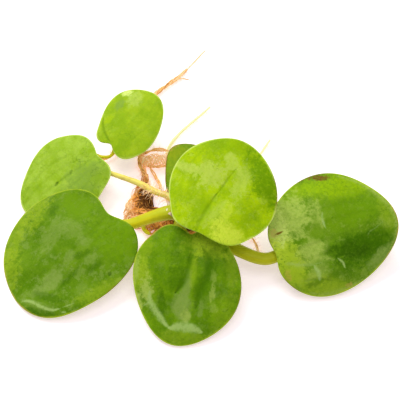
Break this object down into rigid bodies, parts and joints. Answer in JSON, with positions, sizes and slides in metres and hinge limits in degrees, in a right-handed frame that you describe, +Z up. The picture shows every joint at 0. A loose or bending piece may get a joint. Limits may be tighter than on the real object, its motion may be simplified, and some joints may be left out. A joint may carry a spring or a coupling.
{
  "type": "floating aquarium plant",
  "caption": "Amazon frogbit lying on a surface: domed round leaves on bent stalks around a short crown, a runner to a plantlet, and a flattened tuft of brown roots.",
  "frame": {"origin": "on the surface the plant lies on, under the crown, on the flat underside of the root tuft", "axes": "+Z up; +X to the right along the plant's longest extent, as seen from the front; +Y away from the front leaf, towards the plantlet's root"},
  "size_m": [0.0724, 0.0659, 0.016],
  "materials": {
    "leaf_green": "wet, glossy mid-green leaf with mottling, faint veins and a thin yellow-green rim",
    "leaf_lime": "wet, glossy lime-green young leaf with a pale rim",
    "leaf_young": "satin light yellow-green leaf",
    "stalk": "smooth, moist yellow-olive stalk with fine lengthwise lines",
    "stolon": "pale yellow runner, brown-tinted below",
    "root_brown": "matted dark brown and orange root fibres",
    "root_orange": "thin orange-brown root",
    "root_pale": "thin pale yellow root"
  },
  "bodies": {
    "root": {"leaf_left": "leaf_green", "leaf_front": "leaf_green", "leaf_right": "leaf_green", "leaf_rear": "leaf_green", "leaf_centre": "leaf_lime", "plantlet_leaf_left": "leaf_young", "plantlet_leaf_rear": "leaf_young", "crown": "stalk", "plantlet_crown": "stalk", "stalk_left": "stalk", "stalk_front": "stalk", "stalk_centre": "stalk", "stalk_right": "stalk", "stalk_rear": "stalk", "plantlet_stalk_left": "stalk", "plantlet_stalk_rear": "stalk", "stolon": "stolon", "root_tuft": "root_brown", "root_loop": "root_orange", "root_right": "root_orange", "plantlet_root": "root_orange", "root_back": "root_pale", "root_far_right": "root_pale"}
  },
  "joints": []
}
